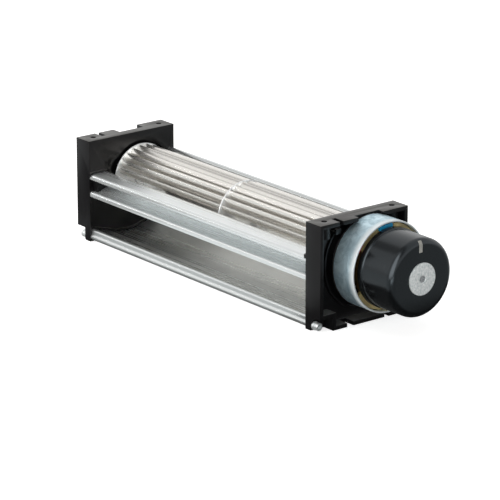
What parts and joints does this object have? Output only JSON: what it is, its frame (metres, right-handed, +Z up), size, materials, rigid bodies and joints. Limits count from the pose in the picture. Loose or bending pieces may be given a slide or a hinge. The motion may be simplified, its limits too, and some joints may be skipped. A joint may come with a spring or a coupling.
{
  "type": "cross flow fan",
  "caption": "Compact cross flow fan: drum impeller of thin curved blades in a folded sheet duct between black end plates, driven by an external rotor motor at one end.",
  "frame": {"origin": "centre of the whole fan's bounding box at the base, on which both end plates stand", "axes": "+X along the impeller towards the motor, +Y from the outlet to the rear wall, +Z up out of the inlet"},
  "size_m": [0.2078, 0.0498, 0.048],
  "materials": {
    "black_plastic": "fine satin moulded plastic",
    "galvanised": "zinc coated sheet, satin with faint rolling lines",
    "blade_metal": "bright rolled sheet, satin",
    "zinc_screw": "bright zinc plated",
    "steel": "turned and ground steel",
    "cup_black": "smooth black coat, semi gloss",
    "blasted_hub": "fine blasted metal",
    "board": "tan laminate with a thin lacquer",
    "blue_coat": "dipped glossy coat",
    "tan_coat": "dipped glossy coat",
    "red_insulation": "soft smooth insulation",
    "chip_black": "moulded case",
    "lamination": "stacked electrical sheet",
    "insulator": "off white moulded nylon",
    "copper": "enamelled winding wire",
    "magnet": "dark sintered ferrite",
    "rubber": "soft moulded rubber",
    "bronze": "sintered, oil filled",
    "flange_metal": "die cast with a black coat"
  },
  "bodies": {
    "housing": {"left_end_plate": "black_plastic", "right_end_plate": "black_plastic", "scroll_sheet": "galvanised", "stabiliser_sheet": "galvanised", "hem_screws": "zinc_screw", "bearing_rubber": "rubber", "idle_bearing": "bronze", "bearing_cap": "black_plastic", "motor_flange": "flange_metal", "flange_screws": "zinc_screw", "motor_ring": "galvanised", "motor_bearings": "steel", "circuit_board": "board", "blue_capacitor": "blue_coat", "tan_capacitor": "tan_coat", "red_lead": "red_insulation", "board_components": "chip_black", "stator_core": "lamination", "stator_insulators": "insulator", "stator_coils": "copper"},
    "rotor": {"idle_disc": "blade_metal", "mid_disc": "blade_metal", "drive_disc": "blade_metal", "impeller_blades": "blade_metal", "stub_axle": "steel", "drive_bush": "steel", "grub_screw": "steel", "motor_shaft": "steel", "shaft_clip": "steel", "thrust_washers": "steel", "rotor_hub": "blasted_hub", "rotor_cup": "cup_black", "rotor_magnet": "magnet"}
  },
  "joints": [
    {"name": "impeller_spin", "type": "hinge", "parent": "housing", "child": "rotor", "pos_m": [0, 0.0045, 0.027], "axis": [1, 0, 0], "continuous": true}
  ]
}
